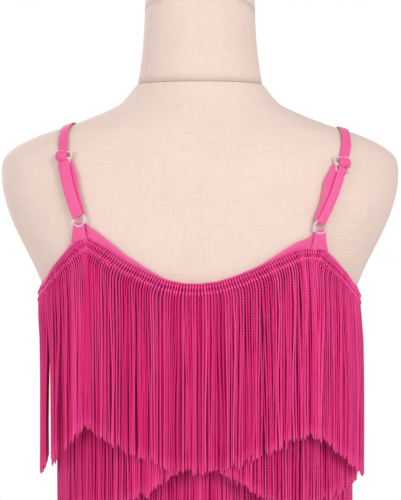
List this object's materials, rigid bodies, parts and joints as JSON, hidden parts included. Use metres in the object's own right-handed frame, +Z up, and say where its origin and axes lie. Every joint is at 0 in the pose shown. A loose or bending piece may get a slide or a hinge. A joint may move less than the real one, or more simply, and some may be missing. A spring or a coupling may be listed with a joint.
{
  "type": "latin dance dress on a dress form",
  "caption": "Sleeveless latin dance dress with tiers of long looped fringe and thin adjustable straps, worn by a limbless dress form on a round stand.",
  "frame": {"origin": "on the floor, at the middle of the stand's round foot", "axes": "+Z up; the dress faces -Y, its open back faces +Y, and +X is the dress's own left"},
  "size_m": [0.38, 0.35, 1.5089],
  "materials": {
    "form_linen": "woven linen cover, cream with fine slubs",
    "jersey": "smooth stretch jersey, bright pink",
    "fringe": "lustrous twisted fringe strands, bright pink",
    "clear_plastic": "clear glossy plastic",
    "stand_steel": "brushed",
    "stand_paint": "satin cream paint"
  },
  "bodies": {
    "root": {"form_torso": "form_linen", "form_neck": "form_linen", "form_neck_cap": "form_linen", "stand_foot": "stand_paint", "stand_pole": "stand_steel", "stand_collar": "stand_steel", "panel_back": "jersey", "panel_front": "jersey", "fringe_1_back": "fringe", "fringe_1_front": "fringe", "fringe_2_back": "fringe", "fringe_2_front": "fringe", "fringe_3_back": "fringe", "fringe_3_front": "fringe", "fringe_4_back": "fringe", "fringe_4_front": "fringe", "fringe_5_back": "fringe", "fringe_5_front": "fringe", "fringe_6_back": "fringe", "fringe_6_front": "fringe", "strap_shoulder_left": "jersey", "strap_lower_left": "jersey", "strap_fold_left": "jersey", "tab_left": "jersey", "ring_left": "clear_plastic", "slider_left": "clear_plastic", "strap_shoulder_right": "jersey", "strap_lower_right": "jersey", "strap_fold_right": "jersey", "tab_right": "jersey", "ring_right": "clear_plastic", "slider_right": "clear_plastic"}
  },
  "joints": []
}
